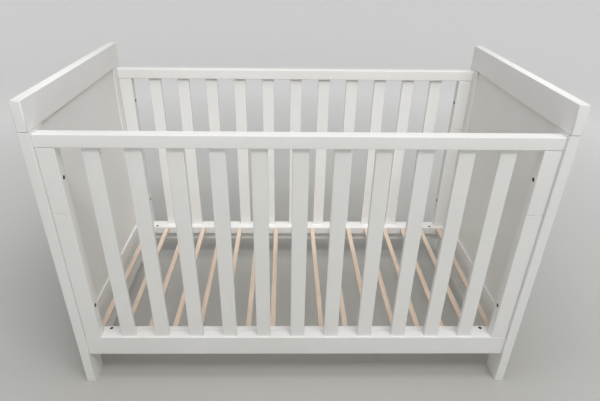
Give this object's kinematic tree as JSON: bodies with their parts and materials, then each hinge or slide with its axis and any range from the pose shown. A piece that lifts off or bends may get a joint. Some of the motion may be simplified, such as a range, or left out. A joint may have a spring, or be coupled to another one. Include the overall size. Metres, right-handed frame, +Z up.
{
  "type": "slatted cot",
  "caption": "White painted wooden cot: panelled ends on square legs, fixed slatted sides bolted between them, and a low base of bare wooden slats for a child's mattress.",
  "frame": {"origin": "on the floor, under the middle of the cot", "axes": "+X along the length, to the right as seen from the front; +Y from the front side to the back side; +Z up"},
  "size_m": [1.27, 0.684, 0.863],
  "materials": {
    "white_paint": "satin white paint on wood",
    "bare_wood": "bare planed softwood"
  },
  "bodies": {
    "root": {"left_end_top_rail": "white_paint", "left_end_front_post": "white_paint", "left_end_back_post": "white_paint", "left_end_panel": "white_paint", "left_end_bottom_rail": "white_paint", "right_end_top_rail": "white_paint", "right_end_front_post": "white_paint", "right_end_back_post": "white_paint", "right_end_panel": "white_paint", "right_end_bottom_rail": "white_paint", "front_side_top_rail": "white_paint", "front_side_bottom_rail": "white_paint", "front_side_left_stile": "white_paint", "front_side_right_stile": "white_paint", "front_side_slat_01": "white_paint", "front_side_slat_02": "white_paint", "front_side_slat_03": "white_paint", "front_side_slat_04": "white_paint", "front_side_slat_05": "white_paint", "front_side_slat_06": "white_paint", "front_side_slat_07": "white_paint", "front_side_slat_08": "white_paint", "front_side_slat_09": "white_paint", "front_side_slat_10": "white_paint", "front_side_slat_11": "white_paint", "back_side_top_rail": "white_paint", "back_side_bottom_rail": "white_paint", "back_side_left_stile": "white_paint", "back_side_right_stile": "white_paint", "back_side_slat_01": "white_paint", "back_side_slat_02": "white_paint", "back_side_slat_03": "white_paint", "back_side_slat_04": "white_paint", "back_side_slat_05": "white_paint", "back_side_slat_06": "white_paint", "back_side_slat_07": "white_paint", "back_side_slat_08": "white_paint", "back_side_slat_09": "white_paint", "back_side_slat_10": "white_paint", "back_side_slat_11": "white_paint", "base_front_rail": "white_paint", "base_back_rail": "white_paint", "base_slat_01": "bare_wood", "base_slat_02": "bare_wood", "base_slat_03": "bare_wood", "base_slat_04": "bare_wood", "base_slat_05": "bare_wood", "base_slat_06": "bare_wood", "base_slat_07": "bare_wood", "base_slat_08": "bare_wood", "base_slat_09": "bare_wood", "base_slat_10": "bare_wood", "base_slat_11": "bare_wood", "base_slat_12": "bare_wood", "base_slat_13": "bare_wood", "base_slat_14": "bare_wood", "base_slat_15": "bare_wood", "base_slat_16": "bare_wood", "base_slat_17": "bare_wood"}
  },
  "joints": []
}
